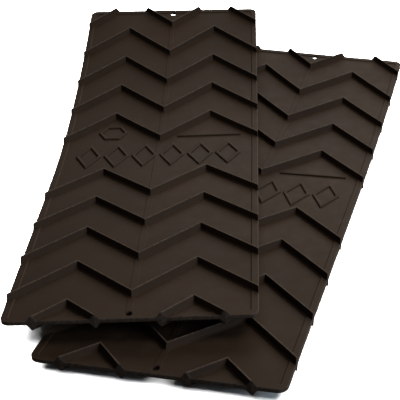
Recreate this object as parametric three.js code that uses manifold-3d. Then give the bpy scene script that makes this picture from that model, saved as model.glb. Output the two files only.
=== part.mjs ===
// A pair of tyre traction mats: two moulded grip mats alike in shape, one lying across the other.
// Each mat is one moulded piece, with zigzag ridges that stand up from both faces of a thin sheet.
// A mat is made flat, then bent. Its own frame has X across it, Y along it and Z through the sheet.
import * as THREE from "three";
import { mergeVertices } from "three/addons/utils/BufferGeometryUtils.js";
import Module from "manifold-3d";

const wasm = await Module();
wasm.setup();

// Driving dimensions, in millimetres.
const MAT_LENGTH = 908;
const MAT_WIDTH = 300;
const CORNER_RADIUS = 12;
const SHEET_THICKNESS = 3.4;
const BORDER_WIDTH = 9;
const BORDER_RAISE = 1;
const SEAM_WIDTH = 8;
const SEAM_RAISE = 0.5;
const RIDGE_HEIGHT = 7.8; // from the sheet to the crest, on each face
const RIDGE_BASE = 9; // across the ridge where it meets the sheet
const RIDGE_CREST = 1.4; // across the flat crest
const RIDGE_PITCH = 90; // from row to row, along the mat
const ROW_OFFSET = -4.5; // of the middle row, from the middle of the mat
const HOLE_DIAMETER = 8;
const HOLE_SETBACK = 11.5; // of a hole's centre, from the end of the mat

// The raised pattern in the plain band, which takes the place of the middle row.
const RELIEF_HEIGHT = 2;
const RELIEF_LINE = 5;
const LOZENGE_WIDTH = 39;
const LOZENGE_GAP = 3;
const LOZENGE_CLEARANCE = 8; // to the ridges on both sides of the band
const PATTERN_MARGIN = 25; // to the sides of the mat
const HEXAGON_RADIUS = 23;
const HEXAGON_OFFSET = 74; // beyond the middle of the band
const BAR_LENGTH = 98;
const BAR_WIDTH = 3;
const BAR_OFFSET = 58;

// How the mats are bent up towards their far ends, about lines that are skewed to the mat's width.
const BEND_START = -67; // along the mat, from its middle
const BEND_END = 113;
const LOWER_SHAPE = {
  bend: THREE.MathUtils.degToRad(3), // from the start to the end of the bend
  curl: THREE.MathUtils.degToRad(7.5), // from there to the mat's end
  skew: THREE.MathUtils.degToRad(-20),
};
const UPPER_SHAPE = {
  bend: THREE.MathUtils.degToRad(7.6),
  curl: THREE.MathUtils.degToRad(10.4),
  skew: THREE.MathUtils.degToRad(-6.6),
};

// How the upper mat lies on the lower one.
const UPPER_SHIFT = new THREE.Vector2(-159.2, 47.3);
const UPPER_YAW = THREE.MathUtils.degToRad(14.1);
const UPPER_ROLL = THREE.MathUtils.degToRad(-0.15);
const UPPER_PITCH = THREE.MathUtils.degToRad(-0.6);
const REST_CLEARANCE = 0.3; // between the crests of the two mats

const ZIGZAG_WAVES = 2; // across the mat
const BEND_FACETS = 3; // flat facets that stand for each bent stretch
const CURL_FACETS = 3;
const ARC_SEGMENTS = 3;
const HOLE_SEGMENTS = 12;
const EMBED = 0.5; // how far a raised line reaches into what it stands on
const SEAT_STEPS = 12; // halvings of the search for the height where the mats touch

const UP = new THREE.Vector3(0, 0, 1);

// What follows from them.
const LEG_WIDTH = MAT_WIDTH / (2 * ZIGZAG_WAVES);
const SWING = LEG_WIDTH; // legs run at 45 degrees
const RIDGE_BASE_ALONG = RIDGE_BASE * Math.SQRT2;
const RIDGE_CREST_ALONG = RIDGE_CREST * Math.SQRT2;
const CREST_Z = SHEET_THICKNESS / 2 + RIDGE_HEIGHT;
const BAND_HALF = RIDGE_PITCH - (SWING + RIDGE_BASE_ALONG) / 2;

function toSolid(geometry) {
  geometry.deleteAttribute("normal");
  geometry.deleteAttribute("uv");
  const merged = mergeVertices(geometry);
  return new wasm.Manifold(
    new wasm.Mesh({
      numProp: 3,
      vertProperties: merged.attributes.position.array,
      triVerts: new Uint32Array(merged.index.array),
    }),
  );
}

// A solid of the shape, as thick as said, that is centred on the sheet.
function slab(shape, thickness) {
  const geometry = new THREE.ExtrudeGeometry(shape, {
    depth: thickness,
    bevelEnabled: false,
    curveSegments: ARC_SEGMENTS,
  });
  return toSolid(geometry.translate(0, 0, -thickness / 2));
}

function union(solids) {
  return solids.reduce((joined, solid) => joined.add(solid));
}

function roundedRectangle(width, length, radius) {
  const x = width / 2 - radius;
  const y = length / 2 - radius;
  const shape = new THREE.Shape();
  shape.absarc(x, y, radius, 0, Math.PI / 2);
  shape.absarc(-x, y, radius, Math.PI / 2, Math.PI);
  shape.absarc(-x, -y, radius, Math.PI, 1.5 * Math.PI);
  shape.absarc(x, -y, radius, 1.5 * Math.PI, 2 * Math.PI);
  return shape;
}

function rectangle(width, length) {
  return polygon([
    [-width / 2, -length / 2],
    [width / 2, -length / 2],
    [width / 2, length / 2],
    [-width / 2, length / 2],
  ]);
}

function polygon(corners) {
  return new THREE.Shape(corners.map(([x, y]) => new THREE.Vector2(x, y)));
}

function border() {
  const inset = 2 * BORDER_WIDTH;
  const ring = roundedRectangle(MAT_WIDTH, MAT_LENGTH, CORNER_RADIUS);
  const innerRadius = Math.max(CORNER_RADIUS - BORDER_WIDTH, 1);
  ring.holes.push(roundedRectangle(MAT_WIDTH - inset, MAT_LENGTH - inset, innerRadius));
  return slab(ring, SHEET_THICKNESS + 2 * BORDER_RAISE);
}

function seam() {
  const length = MAT_LENGTH - 2 * HOLE_SETBACK;
  return slab(rectangle(SEAM_WIDTH, length), SHEET_THICKNESS + 2 * SEAM_RAISE);
}

// Where the middle row's line is, this far across the mat. The outer legs run straight on past the sides.
function zigzag(x) {
  const reach = Math.min(Math.abs(x), MAT_WIDTH / 2);
  const phase = reach % (2 * LEG_WIDTH);
  const fromMiddle = LEG_WIDTH - Math.abs(phase - LEG_WIDTH);
  const pastSide = Math.abs(x) - reach;
  return fromMiddle - pastSide - SWING / 2;
}

// One row of ridges on both faces: a six-sided section, from crest to crest, swept along the zigzag.
function ridgeRow(centre) {
  const crest = RIDGE_CREST_ALONG / 2;
  const flare = (RIDGE_BASE_ALONG / 2 - crest) / RIDGE_HEIGHT;
  const waist = crest + flare * CREST_Z;
  const section = polygon([
    [-waist, 0],
    [-crest, -CREST_Z],
    [crest, -CREST_Z],
    [waist, 0],
    [crest, CREST_Z],
    [-crest, CREST_Z],
  ]);
  const legs = 2 * ZIGZAG_WAVES + 2; // one more than fits on each side
  const length = legs * LEG_WIDTH;
  const geometry = new THREE.ExtrudeGeometry(section, {
    depth: length,
    steps: legs,
    bevelEnabled: false,
  });
  const across = new THREE.Vector3(1, 0, 0);
  const along = new THREE.Vector3(0, 1, 0);
  geometry.applyMatrix4(new THREE.Matrix4().makeBasis(along, UP, across));
  geometry.translate(-length / 2, 0, 0);
  const position = geometry.attributes.position;
  for (let i = 0; i < position.count; i++) {
    position.setY(i, position.getY(i) + centre + zigzag(position.getX(i)));
  }
  return toSolid(geometry);
}

// Every row that reaches the mat, but for the one that the plain band replaces.
function rowCentres() {
  const reach = MAT_LENGTH / 2 + SWING / 2;
  const most = Math.floor((reach + Math.abs(ROW_OFFSET)) / RIDGE_PITCH);
  const centres = [];
  for (let row = -most; row <= most; row++) {
    const centre = ROW_OFFSET + row * RIDGE_PITCH;
    if (row !== 0 && Math.abs(centre) < reach) {
      centres.push(centre);
    }
  }
  return centres;
}

function ridges() {
  const rows = union(rowCentres().map(ridgeRow));
  return rows.intersect(slab(roundedRectangle(MAT_WIDTH, MAT_LENGTH, CORNER_RADIUS), 4 * CREST_Z));
}

// A raised line pattern of the shape, on the upper face.
function raised(shape, x, y) {
  const geometry = new THREE.ExtrudeGeometry(shape, { depth: RELIEF_HEIGHT + EMBED, bevelEnabled: false });
  return toSolid(geometry.translate(x, y, SHEET_THICKNESS / 2 - EMBED));
}

// A hollow shape with corners on an ellipse, drawn with one line width.
function hollow(corners, width, length) {
  const outline = (halfWidth, halfLength) => {
    const points = [];
    for (let i = 0; i < corners; i++) {
      const angle = (2 * Math.PI * i) / corners;
      points.push([halfWidth * Math.cos(angle), halfLength * Math.sin(angle)]);
    }
    return polygon(points);
  };
  const half = Math.PI / corners;
  const stretched = Math.hypot(width * Math.sin(half), length * Math.cos(half));
  const edgeDistance = (width * length * Math.cos(half)) / (2 * stretched);
  const share = 1 - RELIEF_LINE / edgeDistance;
  const shape = outline(width / 2, length / 2);
  shape.holes.push(outline((share * width) / 2, (share * length) / 2));
  return shape;
}

function relief() {
  const lozengeLength = 2 * (BAND_HALF - LOZENGE_CLEARANCE);
  const step = LOZENGE_WIDTH + LOZENGE_GAP;
  const count = Math.floor((MAT_WIDTH - 2 * PATTERN_MARGIN + LOZENGE_GAP) / step);
  const parts = [];
  for (let i = 0; i < count; i++) {
    const x = (i - (count - 1) / 2) * step;
    parts.push(raised(hollow(4, LOZENGE_WIDTH, lozengeLength), x, ROW_OFFSET));
  }
  const hexagon = hollow(6, 2 * HEXAGON_RADIUS, 2 * HEXAGON_RADIUS);
  parts.push(raised(hexagon, -LEG_WIDTH, ROW_OFFSET + HEXAGON_OFFSET));
  parts.push(raised(rectangle(BAR_LENGTH, BAR_WIDTH), LEG_WIDTH, ROW_OFFSET + BAR_OFFSET));
  return union(parts);
}

function holes() {
  const circle = new THREE.Shape().absarc(0, 0, HOLE_DIAMETER / 2, 0, 2 * Math.PI);
  const drill = new THREE.ExtrudeGeometry(circle, {
    depth: 4 * CREST_Z,
    bevelEnabled: false,
    curveSegments: HOLE_SEGMENTS,
  });
  drill.translate(0, 0, -2 * CREST_Z);
  const y = MAT_LENGTH / 2 - HOLE_SETBACK;
  return union([-y, y].map((end) => toSolid(drill.clone().translate(0, end, 0))));
}

function flatMat() {
  const sheet = slab(roundedRectangle(MAT_WIDTH, MAT_LENGTH, CORNER_RADIUS), SHEET_THICKNESS);
  return union([sheet, border(), seam(), ridges(), relief()]).subtract(holes());
}

// The bent stretches of a mat, from its middle to its far end.
function arcsOf({ bend, curl }) {
  return [
    { start: BEND_START, end: BEND_END, turn: bend, facets: BEND_FACETS },
    { start: BEND_END, end: MAT_LENGTH / 2, turn: curl, facets: CURL_FACETS },
  ];
}

// The lengths along a mat where one flat facet ends and the next begins.
function facetEnds(shape) {
  const ends = [-MAT_LENGTH / 2];
  for (const { start, end, facets } of arcsOf(shape)) {
    for (let i = 0; i < facets; i++) {
      ends.push(start + (i * (end - start)) / facets);
    }
  }
  return [...ends, MAT_LENGTH / 2];
}

// Where a point this far along the mat and above its middle comes to, on true arcs.
function arcPoint(length, height, shape) {
  let y = Math.min(length, BEND_START);
  let z = 0;
  let slope = 0;
  for (const { start, end, turn } of arcsOf(shape)) {
    const run = Math.min(Math.max(length - start, 0), end - start);
    const radius = (end - start) / turn;
    const next = slope + run / radius;
    y += radius * (Math.sin(next) - Math.sin(slope));
    z += radius * (Math.cos(slope) - Math.cos(next));
    slope = next;
  }
  return new THREE.Vector3(0, y - height * Math.sin(slope), z + height * Math.cos(slope));
}

// Where a point comes to on the flat facets that stand for the arcs, where the arcs run along its frame.
function bendAlong(point, shape) {
  const ends = facetEnds(shape);
  const next = ends.findIndex((end, i) => i > 0 && point.y <= end);
  const far = next < 0 ? ends.length - 1 : next;
  const share = (point.y - ends[far - 1]) / (ends[far] - ends[far - 1]);
  const start = arcPoint(ends[far - 1], point.z, shape);
  return start.lerp(arcPoint(ends[far], point.z, shape), share).setX(point.x);
}

// Where a point of the flat mat comes to.
function bendPoint(point, shape) {
  const turned = point.clone().applyAxisAngle(UP, shape.skew);
  return bendAlong(turned, shape).applyAxisAngle(UP, -shape.skew);
}

// Splits each triangle that crosses the plane at y, keeping the points that neighbours share.
function splitAt(points, triangles, y) {
  const side = points.map((point) => (Math.abs(point.y - y) < 1e-3 ? 0 : Math.sign(point.y - y)));
  const made = new Map();
  const crossing = (a, b) => {
    const [low, high] = a < b ? [a, b] : [b, a];
    const key = `${low} ${high}`;
    if (!made.has(key)) {
      const share = (y - points[low].y) / (points[high].y - points[low].y);
      made.set(key, points.push(points[low].clone().lerp(points[high], share)) - 1);
    }
    return made.get(key);
  };
  return triangles.flatMap((triangle) => {
    const sides = triangle.map((corner) => side[corner]);
    if (Math.min(...sides) >= 0 || Math.max(...sides) <= 0) {
      return [triangle];
    }
    const near = [];
    const far = [];
    triangle.forEach((corner, i) => {
      const next = triangle[(i + 1) % 3];
      if (side[corner] <= 0) {
        near.push(corner);
      }
      if (side[corner] >= 0) {
        far.push(corner);
      }
      if (side[corner] * side[next] < 0) {
        near.push(crossing(corner, next));
        far.push(crossing(corner, next));
      }
    });
    return [...fan(near), ...fan(far)];
  });
}

function fan(corners) {
  return corners.slice(2).map((corner, i) => [corners[0], corners[i + 1], corner]);
}

// The flat mat's surface, cut into facets along the bent stretch and bent.
function bentGeometry(flat, shape) {
  const { vertProperties, triVerts, numProp } = flat.getMesh();
  const points = [];
  for (let i = 0; i < vertProperties.length; i += numProp) {
    points.push(new THREE.Vector3().fromArray(vertProperties, i).applyAxisAngle(UP, shape.skew));
  }
  let triangles = [];
  for (let i = 0; i < triVerts.length; i += 3) {
    triangles.push([...triVerts.subarray(i, i + 3)]);
  }
  for (const end of facetEnds(shape).slice(1, -1)) {
    triangles = splitAt(points, triangles, end);
  }
  const geometry = new THREE.BufferGeometry();
  geometry.setFromPoints(points.map((point) => bendAlong(point, shape).applyAxisAngle(UP, -shape.skew)));
  geometry.setIndex(triangles.flat());
  geometry.computeVertexNormals();
  return geometry;
}

function makeMat(name, flat, shape) {
  const rubber = new THREE.MeshStandardMaterial({ color: 0x2e2520, roughness: 0.62, metalness: 0 });
  const mesh = new THREE.Mesh(bentGeometry(flat, shape), rubber);
  mesh.name = name;
  return mesh;
}

// How high the upper mat has to be to rest on the lower one, just clear of it.
function seatHeight(lower, upper) {
  const support = toSolid(lower.geometry.clone());
  let blocked = CREST_Z;
  let clear = 4 * CREST_Z;
  for (let i = 0; i < SEAT_STEPS; i++) {
    const height = (blocked + clear) / 2;
    const raised = upper.clone();
    raised.position.z = height;
    raised.updateMatrix();
    const load = toSolid(upper.geometry.clone().applyMatrix4(raised.matrix));
    if (support.intersect(load).getMesh().triVerts.length > 0) {
      blocked = height;
    } else {
      clear = height;
    }
  }
  return clear + REST_CLEARANCE;
}

// The turn that stands the lower mat on the ground: on a far crest of the row before the band and on two
// near crests of the row after it, which have the weight between them.
function standingTurn() {
  const touch = RIDGE_PITCH - SWING / 2;
  const places = [
    [-LEG_WIDTH, -touch],
    [0, touch],
    [-MAT_WIDTH / 2, touch],
  ];
  const crests = places.map(([x, y]) => new THREE.Vector3(x, ROW_OFFSET + y, -CREST_Z));
  const touching = crests.map((crest) => bendPoint(crest, LOWER_SHAPE));
  const { normal } = new THREE.Plane().setFromCoplanarPoints(...touching);
  return new THREE.Quaternion().setFromUnitVectors(normal, UP);
}

function assemble() {
  const flat = flatMat();
  const lower = makeMat("lower_mat", flat, LOWER_SHAPE);
  const upper = makeMat("upper_mat", flat, UPPER_SHAPE);
  upper.rotation.set(UPPER_PITCH, UPPER_ROLL, UPPER_YAW, "ZYX");
  upper.position.set(UPPER_SHIFT.x, UPPER_SHIFT.y, 0);
  upper.position.z = seatHeight(lower, upper);

  const stack = new THREE.Group();
  stack.add(lower, upper);
  stack.quaternion.copy(standingTurn());

  const mats = new THREE.Group();
  mats.add(stack);
  const box = new THREE.Box3().setFromObject(mats, true);
  const middle = box.getCenter(new THREE.Vector3());
  stack.position.set(-middle.x, -middle.y, -box.min.z);
  return mats;
}

export default assemble();
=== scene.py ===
from math import cos, hypot, pi, radians, sin, sqrt, tan

import bmesh
import bpy
from mathutils import Euler, Matrix, Vector


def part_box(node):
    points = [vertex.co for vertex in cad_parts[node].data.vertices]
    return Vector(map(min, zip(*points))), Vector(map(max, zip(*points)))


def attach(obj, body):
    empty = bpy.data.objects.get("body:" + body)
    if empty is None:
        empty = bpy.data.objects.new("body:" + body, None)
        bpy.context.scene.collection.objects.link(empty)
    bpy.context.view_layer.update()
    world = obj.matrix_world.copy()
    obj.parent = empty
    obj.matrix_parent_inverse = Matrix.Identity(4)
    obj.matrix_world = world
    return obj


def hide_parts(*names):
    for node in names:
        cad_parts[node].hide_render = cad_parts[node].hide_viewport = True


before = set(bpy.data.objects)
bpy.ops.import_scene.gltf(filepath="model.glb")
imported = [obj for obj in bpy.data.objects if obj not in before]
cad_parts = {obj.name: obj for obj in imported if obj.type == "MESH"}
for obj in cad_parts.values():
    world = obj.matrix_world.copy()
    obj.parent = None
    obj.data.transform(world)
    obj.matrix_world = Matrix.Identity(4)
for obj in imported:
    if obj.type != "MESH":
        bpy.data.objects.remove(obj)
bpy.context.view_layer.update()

MM = 0.001

# The mat, in millimetres. Its own frame has X across it, Y along it and Z through the sheet.
WIDTH = 300
LENGTH = 908
CORNER_RADIUS = 12
SHEET_HALF = 1.7
BORDER_WIDTH = 9
BORDER_RAISE = 1
BORDER_BEVEL = 1.2
RIM_ROUNDING = 0.9
SEAM_WIDTH = 8
SEAM_RAISE = 0.5
SEAM_BEVEL = 0.5
RIDGE_HEIGHT = 7.8  # from the sheet to the crest, on each face
RIDGE_BASE = 9
RIDGE_CREST = 1.4
RIDGE_PITCH = 90
ROW_OFFSET = -4.5
CREST_ROUNDING = 0.45
PLINTH_INSET = 0.3  # of the small step along a ridge's foot, from where the ridge would meet the sheet
PLINTH_WIDTH = 1.3
PLINTH_RAISE = 0.8
PLINTH_SLOPE = 0.4  # how far out its side leans
PLINTH_ROUNDING = 0.25
PLINTH_FILLET = 0.5
PROFILE_END = 1.4  # where the section's outline ends on the sheet, out from the plinth's edge
HOLE_DIAMETER = 8
HOLE_SETBACK = 11.5
HOLE_ROUNDING = 1.3
HOLE_CLEARING = 1.5  # how much wider than its rounded mouth a hole is cleared above the seam line
HOLE_LIFT = 0.2  # from the seam line's face to where that wider part starts

# The raised pattern in the plain band across the middle.
RELIEF_LINE = 5
RELIEF_EMBED = 0.5
RELIEF_SIDE = [(0, 0.7), (0.35, 1.25), (0.9, 1.65), (1.6, 1.9), (2.5, 2)]  # (distance in, height)
LOZENGE_WIDTH = 39
LOZENGE_GAP = 3
LOZENGE_CLEARANCE = 8
PATTERN_MARGIN = 25
HEXAGON_RADIUS = 23
HEXAGON_OFFSET = 74
BAR_LENGTH = 98
BAR_WIDTH = 3
BAR_OFFSET = 58
BAR_TOP_HALF = 0.3  # the least that is left of half the bar's width at its top

# How the mats are bent, about lines that are skewed to the mat's width, and how the upper one is turned on
# the lower one. The bend runs from its start to its end, and the curl from there to the mat's end.
BEND_START = -67
BEND_END = 113
BENDS = {
    "lower_mat": {"bend": radians(3), "curl": radians(7.5), "skew": radians(-20)},
    "upper_mat": {"bend": radians(7.6), "curl": radians(10.4), "skew": radians(-6.6)},
}
UPPER_YAW = radians(14.1)
UPPER_ROLL = radians(-0.15)
UPPER_PITCH = radians(-0.6)

# What follows from them.
LEG_WIDTH = WIDTH / 4
SWING = LEG_WIDTH
DIAGONAL = sqrt(0.5)  # the ridges run at 45 degrees, so this much of a distance along Y is across them
CREST_Z = SHEET_HALF + RIDGE_HEIGHT
BAND_HALF = RIDGE_PITCH - (SWING + RIDGE_BASE / DIAGONAL) / 2

# How far the paler tone reaches down from a crest and in from the rim. It is wear, and on the crests it is
# also a painted highlight.
WEAR_AND_HIGHLIGHT_DEPTH = 1.3

# How finely the surface is divided.
FIELD_STEP = 7.5
CORNER_STEPS = 6
PROFILE_STEPS = 4
HOLE_STEPS = 48
MOUTH_STEPS = 4
OUTLINE_PARTS = 6
STEP_MARGIN = 0.5  # from a step in height to the grid line beside it
STEP_MARGIN_ALONG = 0.7  # the same, along the mat beside a ridge
CUT_TOLERANCE = 1e-5
WELD_DISTANCE = 0.02
SHARP_ANGLE = radians(32)  # where faces meet at more than this, the shading shows an edge


def rounded(points, radii, steps):
    """The open outline with each inner corner rounded to its radius."""
    result = [points[0]]
    for before, corner, after, radius in zip(points, points[1:], points[2:], radii):
        corner = Vector(corner)
        back = (Vector(before) - corner).normalized()
        ahead = (Vector(after) - corner).normalized()
        half = back.angle(ahead) / 2
        start = corner + back * (radius / tan(half))
        end = corner + ahead * (radius / tan(half))
        centre = corner + (back + ahead).normalized() * (radius / sin(half))
        for i in range(steps + 1):
            spoke = (start - centre).normalized().slerp((end - centre).normalized(), i / steps)
            result.append(tuple(centre + spoke * radius))
    return result + [points[-1]]


def ridge_profile():
    """Half a ridge's section, from crest to foot: (distance from its middle, height above the sheet)."""
    foot = RIDGE_BASE / 2 - PLINTH_INSET
    edge = foot + PLINTH_WIDTH
    points = [
        (0, RIDGE_HEIGHT),
        (RIDGE_CREST / 2, RIDGE_HEIGHT),
        (foot, PLINTH_RAISE),
        (edge, PLINTH_RAISE),
        (edge + PLINTH_SLOPE, 0),
        (edge + PROFILE_END, 0),
    ]
    radii = [CREST_ROUNDING, PLINTH_FILLET, PLINTH_ROUNDING, PLINTH_FILLET]
    outline = rounded(points, radii, PROFILE_STEPS)
    profile = []
    for (near, high), (far, low) in zip(outline, outline[1:]):
        profile.append((near, high))
        for level in (RIDGE_HEIGHT - WEAR_AND_HIGHLIGHT_DEPTH, RIDGE_HEIGHT / 2, BORDER_RAISE):
            if low < level < high:
                share = (high - level) / (high - low)
                profile.append((near + share * (far - near), level))
    return profile


PROFILE = ridge_profile()
RIDGE_REACH = PROFILE[-1][0]


def between(x, table):
    """The second column at x, of a table sorted by its first column."""
    for (x0, y0), (x1, y1) in zip(table, table[1:]):
        if x <= x1:
            return y0 + (y1 - y0) * (x - x0) / (x1 - x0)
    return table[-1][1]


def zigzag(x):
    """How far along the mat a row's line is from the row's middle, this far across."""
    phase = abs(x) % (2 * LEG_WIDTH)
    return LEG_WIDTH - abs(phase - LEG_WIDTH) - SWING / 2


def row_middles():
    """Where the rows of ridges are along the mat. There is none in the plain band across the middle."""
    most = int((LENGTH / 2 + SWING) // RIDGE_PITCH) + 1
    return [ROW_OFFSET + row * RIDGE_PITCH for row in range(-most, most + 1) if row]


ROWS = row_middles()


def edge_distance(x, y):
    """How far inside the mat's rounded outline a point is."""
    across = abs(x) - (WIDTH / 2 - CORNER_RADIUS)
    along = abs(y) - (LENGTH / 2 - CORNER_RADIUS)
    if across > 0 and along > 0:
        return CORNER_RADIUS - hypot(across, along)
    return CORNER_RADIUS - max(across, along)


def height(x, y):
    """The height of the upper face above the middle of the sheet."""
    inside = edge_distance(x, y)
    low, high = BORDER_WIDTH - BORDER_BEVEL / 2, BORDER_WIDTH + BORDER_BEVEL / 2
    border = BORDER_RAISE * between(inside, [(0, 1), (low, 1), (high, 0), (WIDTH, 0)])
    start, end = (SEAM_WIDTH - SEAM_BEVEL) / 2, (SEAM_WIDTH + SEAM_BEVEL) / 2
    seam = SEAM_RAISE * between(abs(x), [(0, 1), (start, 1), (end, 0), (WIDTH, 0)])
    across = min(abs(y - zigzag(x) - row) for row in ROWS) * DIAGONAL
    ridge = between(across, PROFILE) if across < RIDGE_REACH else 0
    rim = max(RIM_ROUNDING - inside, 0)
    drop = RIM_ROUNDING - sqrt(max(RIM_ROUNDING**2 - rim**2, 0))
    return SHEET_HALF + max(border, seam, ridge) - drop


def stations_across():
    """Where the grid's lines run along the mat: evenly, and on both sides of every step in height."""
    half = WIDTH / 2
    steps = round(half / FIELD_STEP)
    lines = {i * half / steps for i in range(steps + 1)}
    lines |= {(SEAM_WIDTH - SEAM_BEVEL) / 2, (SEAM_WIDTH + SEAM_BEVEL) / 2, SEAM_WIDTH / 2 + 1}
    lines |= {half - inset for inset in ring_insets()}
    return sorted({-x for x in lines} | lines)


def ring_insets():
    """How far inside the outline the rings of edges run that the rim and the border need."""
    rim = [RIM_ROUNDING * (1 - sin(i * pi / 6)) for i in (1, 2)]
    start = BORDER_WIDTH - BORDER_BEVEL / 2
    end = BORDER_WIDTH + BORDER_BEVEL / 2
    steps = [start - STEP_MARGIN, start, end, end + STEP_MARGIN]
    return rim + [RIM_ROUNDING, RIM_ROUNDING + STEP_MARGIN] + steps


def stations_along():
    """Where the grid's zigzag lines have their middles: on ridge profiles, and evenly between ridges."""
    ridge = [distance / DIAGONAL for distance, _ in PROFILE]
    ridge.append(ridge[-1] + STEP_MARGIN_ALONG)
    offsets = sorted({-d for d in ridge} | set(ridge))
    lines = []
    middles = sorted(ROWS + [ROW_OFFSET])
    for middle, following in zip(middles, middles[1:] + [middles[-1] + RIDGE_PITCH]):
        lines += [middle + offset for offset in offsets if middle != ROW_OFFSET]
        start = middle + (offsets[-1] if middle != ROW_OFFSET else 0)
        end = following + (offsets[0] if following != ROW_OFFSET else 0)
        count = round((end - start) / FIELD_STEP)
        first = 0 if middle == ROW_OFFSET else 1
        lines += [start + i * (end - start) / count for i in range(first, count)]
    return lines


def cut(mesh, point, normal, clear=False, corner=None):
    """Cuts the flat mesh along a plane, everywhere or near one corner, and can clear what is beyond."""
    def near(face):
        if corner is None:
            return True
        middle = face.calc_center_median()
        reach = CORNER_RADIUS + FIELD_STEP
        return abs(middle.x - corner.x) < reach and abs(middle.y - corner.y) < reach

    # Dictionaries, because a set would give these in another order in every run.
    faces = [face for face in mesh.faces if near(face)]
    edges = dict.fromkeys(edge for face in faces for edge in face.edges)
    verts = dict.fromkeys(vert for face in faces for vert in face.verts)
    geom = [*verts, *edges, *faces]
    bmesh.ops.bisect_plane(
        mesh, geom=geom, dist=CUT_TOLERANCE, plane_co=point, plane_no=normal, clear_outer=clear
    )


def cut_ring(mesh, inset, clear=False):
    """Cuts the flat mesh along the outline moved inwards, as straight ends and stepped corners."""
    for end in (-1, 1):
        cut(mesh, Vector((0, end * (LENGTH / 2 - inset), 0)), Vector((0, end, 0)), clear)
    radius = CORNER_RADIUS - inset
    if radius <= 0:
        return
    for side in (-1, 1):
        for end in (-1, 1):
            centre = Vector((side * (WIDTH / 2 - CORNER_RADIUS), end * (LENGTH / 2 - CORNER_RADIUS), 0))
            for i in range(CORNER_STEPS):
                angle = (i + 0.5) * pi / 2 / CORNER_STEPS
                outward = Vector((side * cos(angle), end * sin(angle), 0))
                reach = radius * cos(pi / 4 / CORNER_STEPS)
                cut(mesh, centre + outward * reach, outward, clear, centre)


def flat_face():
    """The mat's upper face as a flat mesh, trimmed to the outline and cut along each step in height."""
    mesh = bmesh.new()
    across = stations_across()
    along = stations_along()
    rows = [[mesh.verts.new((x, line + zigzag(x), 0)) for x in across] for line in along]
    for row, following in zip(rows, rows[1:]):
        for i in range(len(across) - 1):
            mesh.faces.new((row[i], row[i + 1], following[i + 1], following[i]))
    cut_ring(mesh, 0, clear=True)
    for inset in ring_insets():
        cut_ring(mesh, inset)
    bmesh.ops.remove_doubles(mesh, verts=mesh.verts, dist=WELD_DISTANCE)
    return mesh


def solid_mat():
    """The whole flat mat as a closed mesh, without its holes."""
    mesh = flat_face()
    heights = {vert: height(vert.co.x, vert.co.y) for vert in mesh.verts}
    rim = [edge for edge in mesh.edges if edge.is_boundary]
    under = {vert: mesh.verts.new((vert.co.x, vert.co.y, -high)) for vert, high in heights.items()}
    for face in list(mesh.faces):
        mesh.faces.new([under[vert] for vert in reversed(face.verts)])
    for edge in rim:
        a, b = edge.verts
        mesh.faces.new((a, under[a], under[b], b))
    for vert, high in heights.items():
        vert.co.z = high
    bmesh.ops.recalc_face_normals(mesh, faces=mesh.faces)
    return mesh


def to_object(name, mesh):
    data = bpy.data.meshes.new(name)
    mesh.to_mesh(data)
    mesh.free()
    piece = bpy.data.objects.new(name, data)
    bpy.context.scene.collection.objects.link(piece)
    return piece


def hole_cutter():
    """Both holes as one mesh: straight bores with rounded mouths, level with the seam line."""
    mesh = bmesh.new()
    radius = HOLE_DIAMETER / 2
    face = SHEET_HALF + SEAM_RAISE
    upper = []
    for i in range(MOUTH_STEPS + 1):
        angle = i * pi / 2 / MOUTH_STEPS
        upper.append((radius + HOLE_ROUNDING * (1 - cos(angle)), face - HOLE_ROUNDING * (1 - sin(angle))))
    wide = radius + HOLE_ROUNDING + HOLE_CLEARING
    upper += [(wide, face + HOLE_LIFT), (wide, CREST_Z)]
    section = list(reversed(upper)) + [(reach, -z) for reach, z in upper]
    turns = [2 * pi * i / HOLE_STEPS for i in range(HOLE_STEPS)]
    for end in (-1, 1):
        middle = end * (LENGTH / 2 - HOLE_SETBACK)
        loops = [[(reach * cos(t), middle + reach * sin(t), z) for t in turns] for reach, z in section]
        add_tube(mesh, loops, capped=True)
    bmesh.ops.recalc_face_normals(mesh, faces=mesh.faces)
    return to_object("hole_cutter", mesh)


def add_tube(mesh, loops, capped):
    """Adds a tube through closed loops of points. It is capped at both ends, or joined end to end."""
    rings = [[mesh.verts.new(point) for point in loop] for loop in loops]
    pairs = list(zip(rings, rings[1:]))
    if capped:
        mesh.faces.new(rings[0])
        mesh.faces.new(list(reversed(rings[-1])))
    else:
        pairs.append((rings[-1], rings[0]))
    for ring, following in pairs:
        for i, vert in enumerate(ring):
            j = (i + 1) % len(ring)
            mesh.faces.new((vert, following[i], following[j], ring[j]))


def outline_points(corners, parts):
    """The closed outline through the corners, with each side in this many parts."""
    points = []
    for start, end in zip(corners, corners[1:] + corners[:1]):
        points += [Vector(start).lerp(Vector(end), i / parts) for i in range(parts)]
    return points


def add_hollow(mesh, corners, half_width, half_length, x, y):
    """Adds a raised hollow shape with its corners on an ellipse, drawn with one line width."""
    turns = [2 * pi * i / corners for i in range(corners)]
    outline = [(half_width * cos(t), half_length * sin(t)) for t in turns]
    middle = (Vector(outline[0]) + Vector(outline[1])) / 2
    side = (Vector(outline[1]) - Vector(outline[0])).normalized()
    side_distance = (middle - side * middle.dot(side)).length
    rise = [(0, SHEET_HALF - RELIEF_EMBED)] + [(inset, SHEET_HALF + high) for inset, high in RELIEF_SIDE]
    section = rise + [(RELIEF_LINE - inset, z) for inset, z in reversed(rise[:-1])]
    loops = []
    for inset, z in section:
        share = 1 - inset / side_distance
        loop = outline_points([(share * a, share * b) for a, b in outline], OUTLINE_PARTS)
        loops.append([(x + point.x, y + point.y, z) for point in loop])
    add_tube(mesh, loops, capped=False)


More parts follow.
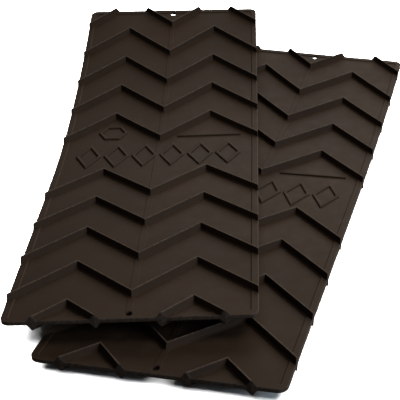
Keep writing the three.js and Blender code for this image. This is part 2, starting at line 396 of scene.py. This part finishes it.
def add_bar(mesh, width, length, x, y):
    """Adds a raised plain bar with rounded top edges."""
    loops = []
    for inset, high in [(0, -RELIEF_EMBED)] + RELIEF_SIDE[:-1]:
        a = length / 2 - inset
        b = max(width / 2 - inset, BAR_TOP_HALF)
        loop = outline_points([(-a, -b), (a, -b), (a, b), (-a, b)], 1)
        loops.append([(x + point.x, y + point.y, SHEET_HALF + high) for point in loop])
    add_tube(mesh, loops, capped=True)


def relief():
    """The raised pattern: a row of hollow lozenges, and above it a hexagon and a bar."""
    mesh = bmesh.new()
    step = LOZENGE_WIDTH + LOZENGE_GAP
    count = int((WIDTH - 2 * PATTERN_MARGIN + LOZENGE_GAP) // step)
    for i in range(count):
        x = (i - (count - 1) / 2) * step
        add_hollow(mesh, 4, LOZENGE_WIDTH / 2, BAND_HALF - LOZENGE_CLEARANCE, x, ROW_OFFSET)
    add_hollow(mesh, 6, HEXAGON_RADIUS, HEXAGON_RADIUS, -LEG_WIDTH, ROW_OFFSET + HEXAGON_OFFSET)
    add_bar(mesh, BAR_WIDTH, BAR_LENGTH, LEG_WIDTH, ROW_OFFSET + BAR_OFFSET)
    bmesh.ops.recalc_face_normals(mesh, faces=mesh.faces)
    return to_object("relief", mesh)


def combine(piece, operation, tool):
    """Cuts the tool from the piece, or joins it on, and removes the tool."""
    modifier = piece.modifiers.new(operation, "BOOLEAN")
    modifier.operation = operation
    modifier.solver = "EXACT"
    modifier.object = tool
    graph = bpy.context.evaluated_depsgraph_get()
    result = bpy.data.meshes.new_from_object(piece.evaluated_get(graph))
    piece.modifiers.clear()
    piece.data = result
    bpy.data.objects.remove(tool)


def arc_point(point, bend, curl):
    """Where a point of the flat mat comes to when the mat is bent about lines straight across it."""
    y, z, slope = min(point.y, BEND_START), 0, 0
    for start, end, turn in ((BEND_START, BEND_END, bend), (BEND_END, LENGTH / 2, curl)):
        radius = (end - start) / turn
        following = slope + min(max(point.y - start, 0), end - start) / radius
        y += radius * (sin(following) - sin(slope))
        z += radius * (cos(slope) - cos(following))
        slope = following
    beyond = max(point.y - LENGTH / 2, 0)
    y += beyond * cos(slope) - point.z * sin(slope)
    z += beyond * sin(slope) + point.z * cos(slope)
    return Vector((point.x, y, z))


def bent(point, node):
    """Where a point of the flat mat comes to on a bent one."""
    shape = BENDS[node]
    turn = Matrix.Rotation(shape["skew"], 3, "Z")
    return turn.inverted() @ arc_point(turn @ point, shape["bend"], shape["curl"])


def standing_turn():
    """The turn that stands the lower mat on the crests that touch the ground."""
    touch = RIDGE_PITCH - SWING / 2
    places = [(-LEG_WIDTH, -touch), (0, touch), (-WIDTH / 2, touch)]
    a, b, c = [bent(Vector((x, ROW_OFFSET + y, -CREST_Z)), "lower_mat") for x, y in places]
    normal = (b - a).cross(c - a)
    return normal.rotation_difference(Vector((0, 0, 1))).to_matrix()


def turn_of(node):
    """How a mat is turned in the shared frame."""
    turn = standing_turn()
    if node == "lower_mat":
        return turn
    return turn @ Euler((UPPER_PITCH, UPPER_ROLL, UPPER_YAW)).to_matrix()


def fitted(points, low, high):
    """The points moved to the middle of a box, and squeezed by the hair that they are too big for it."""
    least = Vector([min(point[i] for point in points) for i in range(3)])
    most = Vector([max(point[i] for point in points) for i in range(3)])
    squeeze = Vector([min(1, (high[i] - low[i]) / (most[i] - least[i])) for i in range(3)])
    middle = (Vector(low) + Vector(high)) / 2
    return [middle + (point - (least + most) / 2) * squeeze for point in points]


def make_mat(node, flat, material):
    """The mat that stands for a CAD node: the flat mesh bent, turned and put where the node is."""
    data = flat.data.copy()
    # Pale on the crests and along the rim: wear, and on the crests also a painted highlight.
    wear_and_highlight = data.attributes.new("wear_and_highlight", "FLOAT", "POINT")
    for vert, worn_and_lit in zip(data.vertices, wear_and_highlight.data):
        crest = 1 - (CREST_Z - abs(vert.co.z)) / WEAR_AND_HIGHLIGHT_DEPTH
        rim = 1 - edge_distance(vert.co.x, vert.co.y) / WEAR_AND_HIGHLIGHT_DEPTH
        worn_and_lit.value = max(crest, rim, 0)
    turn = turn_of(node)
    points = [turn @ bent(vert.co, node) * MM for vert in data.vertices]
    for vert, point in zip(data.vertices, fitted(points, *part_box(node))):
        vert.co = point
    data.shade_smooth()
    data.set_sharp_from_angle(angle=SHARP_ANGLE)
    data.materials.append(material)
    piece = bpy.data.objects.new(node + "_moulding", data)
    bpy.context.scene.collection.objects.link(piece)
    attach(piece, node)
    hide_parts(node)
    return piece


def link(tree, output, target):
    tree.links.new(output, target)


def noise(tree, vector, scale, detail=3, roughness=0.5):
    node = tree.nodes.new("ShaderNodeTexNoise")
    node.inputs["Scale"].default_value = scale
    node.inputs["Detail"].default_value = detail
    node.inputs["Roughness"].default_value = roughness
    link(tree, vector, node.inputs["Vector"])
    return node.outputs["Fac"]


def spread(tree, value, low, high, to_low, to_high):
    """A value between low and high, spread over a new range."""
    node = tree.nodes.new("ShaderNodeMapRange")
    link(tree, value, node.inputs["Value"])
    for name, number in (("From Min", low), ("From Max", high), ("To Min", to_low), ("To Max", to_high)):
        node.inputs[name].default_value = number
    return node.outputs["Result"]


def mixed(tree, share, first, second):
    """A colour between two, each a colour or an output."""
    node = tree.nodes.new("ShaderNodeMix")
    node.data_type = "RGBA"
    link(tree, share, node.inputs["Factor"])
    for name, colour in (("A", first), ("B", second)):
        target = next(i for i in node.inputs if i.name == name and i.type == "RGBA")
        if isinstance(colour, tuple):
            target.default_value = (*colour, 1)
        else:
            link(tree, colour, target)
    return next(o for o in node.outputs if o.type == "RGBA")


def multiplied(tree, first, second):
    node = tree.nodes.new("ShaderNodeMath")
    node.operation = "MULTIPLY"
    link(tree, first, node.inputs[0])
    if isinstance(second, (int, float)):
        node.inputs[1].default_value = second
    else:
        link(tree, second, node.inputs[1])
    return node.outputs[0]


def bump(tree, value, depth, strength, before=None):
    """A bump of this depth in metres, on top of the one before."""
    node = tree.nodes.new("ShaderNodeBump")
    node.inputs["Distance"].default_value = depth
    node.inputs["Strength"].default_value = strength
    link(tree, value, node.inputs["Height"])
    if before:
        link(tree, before, node.inputs["Normal"])
    return node.outputs["Normal"]


# Colours of the rubber: its two broad tones, its mottling, and the paler tone where it is worn, which on
# the crests is also a painted highlight.
DARK_TONE = (0.0300, 0.0168, 0.0098)
WARM_TONE = (0.0400, 0.0228, 0.0136)
MOTTLE_TONE = (0.047, 0.0290, 0.0185)
# Paler tone for wear on crests and rim, and a painted highlight along the crests.
WORN_AND_HIGHLIGHT_TONE = (0.125, 0.094, 0.076)


def rubber():
    """Dark brown moulded rubber: mottled, finely grained, and paler on crests and rim, as wear and, along
    the crests, as a painted highlight.
    """
    material = bpy.data.materials.new("mat_rubber")
    material.use_nodes = True
    tree = material.node_tree
    shader = tree.nodes["Principled BSDF"]
    shader.inputs["Specular IOR Level"].default_value = 0.10
    place = tree.nodes.new("ShaderNodeTexCoord").outputs["Object"]
    wear_and_highlight_node = tree.nodes.new("ShaderNodeAttribute")
    wear_and_highlight_node.attribute_name = "wear_and_highlight"
    broad = noise(tree, place, 7, 3)
    mottle = noise(tree, place, 60, 5, 0.6)
    grain = noise(tree, place, 1500, 2)
    patches = noise(tree, place, 220, 4, 0.65)

    tone = mixed(tree, spread(tree, broad, 0.35, 0.65, 0, 1), DARK_TONE, WARM_TONE)
    tone = mixed(tree, spread(tree, mottle, 0.4, 0.75, 0, 0.65), tone, MOTTLE_TONE)
    # Paler on crests and rim: wear, and along the crests a painted highlight, broken up by noise.
    worn_and_lit = multiplied(tree, wear_and_highlight_node.outputs["Fac"], spread(tree, patches, 0.35, 0.7, 0.25, 0.9))
    tone = mixed(tree, worn_and_lit, tone, WORN_AND_HIGHLIGHT_TONE)
    link(tree, tone, shader.inputs["Base Color"])

    gloss = spread(tree, mottle, 0.3, 0.7, 0.60, 0.72)
    link(tree, gloss, shader.inputs["Roughness"])

    soft = bump(tree, broad, 0.0006, 0.5)
    fine = bump(tree, mottle, 0.0002, 0.5, soft)
    normal = bump(tree, grain, 0.00006, 0.6, fine)
    link(tree, normal, shader.inputs["Normal"])
    return material


FLOOR_SIZE = 8
FLOOR_COLOUR = (0.86, 0.86, 0.86)


def make_floor():
    """A plain pale floor, which takes shadows but sends no light back onto the mats."""
    mesh = bmesh.new()
    bmesh.ops.create_grid(mesh, x_segments=1, y_segments=1, size=FLOOR_SIZE)
    floor = to_object("floor", mesh)
    material = bpy.data.materials.new("floor")
    material.use_nodes = True
    shader = material.node_tree.nodes["Principled BSDF"]
    shader.inputs["Base Color"].default_value = (*FLOOR_COLOUR, 1)
    shader.inputs["Roughness"].default_value = 0.9
    shader.inputs["Specular IOR Level"].default_value = 0.1
    floor.data.materials.append(material)
    floor.visible_diffuse = False
    floor.visible_glossy = False
    return floor


# The camera looks down at the mats, almost along them.
CAMERA_AIM = Vector((0.0798, -0.1275, 0.040))
CAMERA_DISTANCE = 1.529
CAMERA_AZIMUTH = radians(18.31)
CAMERA_ELEVATION = radians(28.8)
CAMERA_ROLL = radians(-3.81)
CAMERA_LENS = 100.8


def make_camera():
    camera = bpy.data.objects.new("camera", bpy.data.cameras.new("camera"))
    bpy.context.scene.collection.objects.link(camera)
    turn = Euler((pi / 2 - CAMERA_ELEVATION, 0, CAMERA_AZIMUTH)).to_matrix()
    turn = turn @ Matrix.Rotation(CAMERA_ROLL, 3, "Z")
    place = CAMERA_AIM + turn @ Vector((0, 0, CAMERA_DISTANCE))
    camera.matrix_world = Matrix.Translation(place) @ turn.to_4x4()
    camera.data.lens = CAMERA_LENS
    camera.data.sensor_width = 36
    camera.data.clip_start = 0.05
    bpy.context.scene.camera = camera


WORLD_STRENGTH = 0.045
WARM_WHITE = (1, 0.93, 0.83)
SOFT_WHITE = (1, 0.95, 0.88)
COOL_WHITE = (0.72, 0.86, 1)
PURE_WHITE = (1, 1, 1)

LIGHT_AIM = Vector((0, 0, 0))

# Each light's place, its size and power, and its colour. All of them aim at the same point.
LIGHTS = {
    "back": ((0.3, 3.4, 1.8), (3.6, 2.2), 92, WARM_WHITE),
    "key": ((1.6, 0.7, 2.4), (1.4, 1.4), 32, SOFT_WHITE),
    "side": ((2.45, -0.8, 1.0), (1.2, 1.0), 26, COOL_WHITE),
    "floor_light": ((0, 0, 4), (7, 7), 3000, PURE_WHITE),
}


def area_light(name, place, size, power, colour):
    light = bpy.data.lights.new(name, "AREA")
    light.shape = "RECTANGLE"
    light.size, light.size_y = size
    light.energy = power
    light.color = colour
    lamp = bpy.data.objects.new(name, light)
    bpy.context.scene.collection.objects.link(lamp)
    turn = (LIGHT_AIM - Vector(place)).to_track_quat("-Z", "Y").to_matrix()
    lamp.matrix_world = Matrix.Translation(place) @ turn.to_4x4()
    return lamp


def make_light(floor):
    """Dim surroundings and soft area lights, with one overhead that only the floor receives."""
    world = bpy.data.worlds.new("studio")
    world.use_nodes = True
    background = world.node_tree.nodes["Background"]
    background.inputs["Color"].default_value = (*PURE_WHITE, 1)
    background.inputs["Strength"].default_value = WORLD_STRENGTH
    bpy.context.scene.world = world
    lamps = {name: area_light(name, *settings) for name, settings in LIGHTS.items()}
    lit = bpy.data.collections.new("lit_by_floor_light")
    lit.objects.link(floor)
    lamps["floor_light"].light_linking.receiver_collection = lit
    bpy.context.scene.view_settings.view_transform = "Standard"


def make_mats():
    flat = to_object("flat", solid_mat())
    combine(flat, "UNION", relief())
    combine(flat, "DIFFERENCE", hole_cutter())
    material = rubber()
    for node in BENDS:
        make_mat(node, flat, material)
    bpy.data.objects.remove(flat)


make_camera()
make_mats()
make_light(make_floor())
